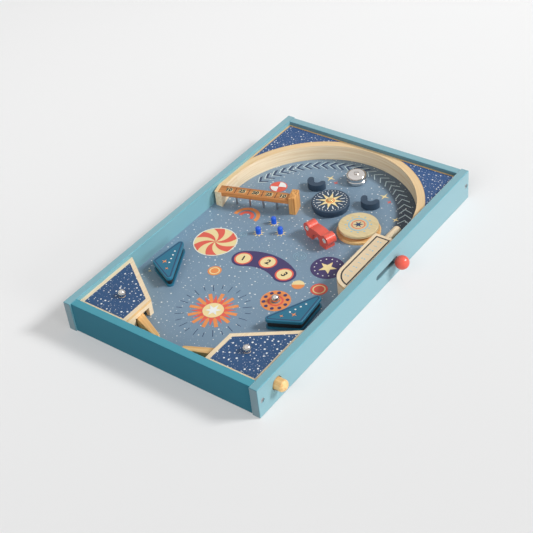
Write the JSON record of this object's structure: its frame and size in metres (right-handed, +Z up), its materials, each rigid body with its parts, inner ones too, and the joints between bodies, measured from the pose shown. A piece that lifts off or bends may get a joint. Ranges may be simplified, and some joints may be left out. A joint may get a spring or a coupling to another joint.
{
  "type": "tabletop pinball game",
  "caption": "Open wooden tray game: printed playfield, button-driven flippers, spring plunger, bumpers, bell, spinning compass disc, scoring bridge and loose steel balls.",
  "frame": {"origin": "middle of the tray's underside, on the surface it rests on", "axes": "+Z up, +Y away from the player along the tray, +X to the player's right, the plunger's side"},
  "size_m": [0.3448, 0.5, 0.0493],
  "materials": {
    "painted_frame": "satin paint",
    "playfield_print": "printed, satin lacquer",
    "navy_print": "printed, satin lacquer",
    "natural_wood": "sanded and lacquered",
    "stained_wood": "stained and lacquered",
    "teal_plate": "satin paint",
    "slate_plate": "satin paint",
    "red_paint": "gloss paint",
    "blue_paint": "gloss paint",
    "black_rubber": "matte",
    "amber_rubber": "matte",
    "bright_steel": "polished",
    "plain_steel": "plain"
  },
  "bodies": {
    "cabinet": {"arch_rail": "natural_wood", "back_left_board": "navy_print", "back_panel": "painted_frame", "back_right_board": "navy_print", "bell_gong": "bright_steel", "bell_post": "natural_wood", "bell_screw": "bright_steel", "blue_pegs": "blue_paint", "button_guides": "natural_wood", "compass_axle": "bright_steel", "compass_base": "slate_plate", "corner_blocks": "natural_wood", "flipper_pins": "plain_steel", "frame_screws": "plain_steel", "front_panel": "painted_frame", "launcher_cover": "natural_wood", "launcher_guide": "natural_wood", "launcher_wall": "natural_wood", "left_button_spring": "plain_steel", "left_cover": "navy_print", "left_crescent_base": "slate_plate", "left_crescent_cap": "slate_plate", "left_guide_wall": "natural_wood", "left_panel": "painted_frame", "left_sling_band": "black_rubber", "left_sling_base": "teal_plate", "left_sling_plate": "teal_plate", "playfield": "playfield_print", "plunger_spring": "plain_steel", "red_gate": "red_paint", "right_button_spring": "plain_steel", "right_cover": "navy_print", "right_crescent_base": "slate_plate", "right_crescent_cap": "slate_plate", "right_guide_wall": "natural_wood", "right_panel": "painted_frame", "right_sling_band": "black_rubber", "right_sling_base": "teal_plate", "right_sling_plate": "teal_plate", "score_bar": "stained_wood", "score_dividers": "natural_wood", "score_post": "natural_wood", "spool_base": "natural_wood", "spool_cap": "natural_wood", "spool_ring": "amber_rubber", "spring_seat": "natural_wood"},
    "left_flipper": {"left_flipper": "natural_wood"},
    "right_flipper": {"right_flipper": "natural_wood"},
    "left_button": {"left_button": "natural_wood", "left_stop_pin": "plain_steel"},
    "right_button": {"right_button": "natural_wood", "right_stop_pin": "plain_steel"},
    "plunger": {"plunger_rod": "natural_wood", "knob_stem": "natural_wood", "launch_knob": "red_paint"},
    "spinner": {"compass_disc": "slate_plate"},
    "left_ball": {"left_ball": "bright_steel"},
    "right_ball": {"right_ball": "bright_steel"},
    "target_ball": {"target_ball": "bright_steel"}
  },
  "joints": [
    {"name": "left_button_press", "type": "slide", "parent": "cabinet", "child": "left_button", "axis": [1, 0, 0], "range_m": [0, 0.0075], "stiffness_N_per_m": 150, "deforming": ["left_button_spring"]},
    {"name": "left_flipper_swing", "type": "hinge", "parent": "cabinet", "child": "left_flipper", "pos_m": [-0.076, -0.202, 0.023], "axis": [0, 0, 1], "range_deg": [0, 40]},
    {"name": "right_button_press", "type": "slide", "parent": "cabinet", "child": "right_button", "axis": [-1, 0, 0], "range_m": [0, 0.0075], "stiffness_N_per_m": 150, "deforming": ["right_button_spring"]},
    {"name": "right_flipper_swing", "type": "hinge", "parent": "cabinet", "child": "right_flipper", "pos_m": [0.076, -0.202, 0.023], "axis": [0, 0, -1], "range_deg": [0, 40]},
    {"name": "plunger_pull", "type": "slide", "parent": "cabinet", "child": "plunger", "axis": [0, -1, 0], "range_m": [0, 0.04], "stiffness_N_per_m": 120, "deforming": ["plunger_spring"]},
    {"name": "compass_spin", "type": "hinge", "parent": "cabinet", "child": "spinner", "pos_m": [0.009, 0.118, 0.025], "axis": [0, 0, 1], "continuous": true},
    {"name": "left_ball_lift", "type": "slide", "parent": "cabinet", "child": "left_ball", "axis": [0, 0, 1], "range_m": [0, 0.03]},
    {"name": "right_ball_lift", "type": "slide", "parent": "cabinet", "child": "right_ball", "axis": [0, 0, 1], "range_m": [0, 0.03]},
    {"name": "target_ball_lift", "type": "slide", "parent": "cabinet", "child": "target_ball", "axis": [0, 0, 1], "range_m": [0, 0.03]}
  ],
  "couplings": [
    {"joint": "left_flipper_swing", "follows": "left_button_press", "rad_per_m": 92.79},
    {"joint": "right_flipper_swing", "follows": "right_button_press", "rad_per_m": 92.79}
  ]
}
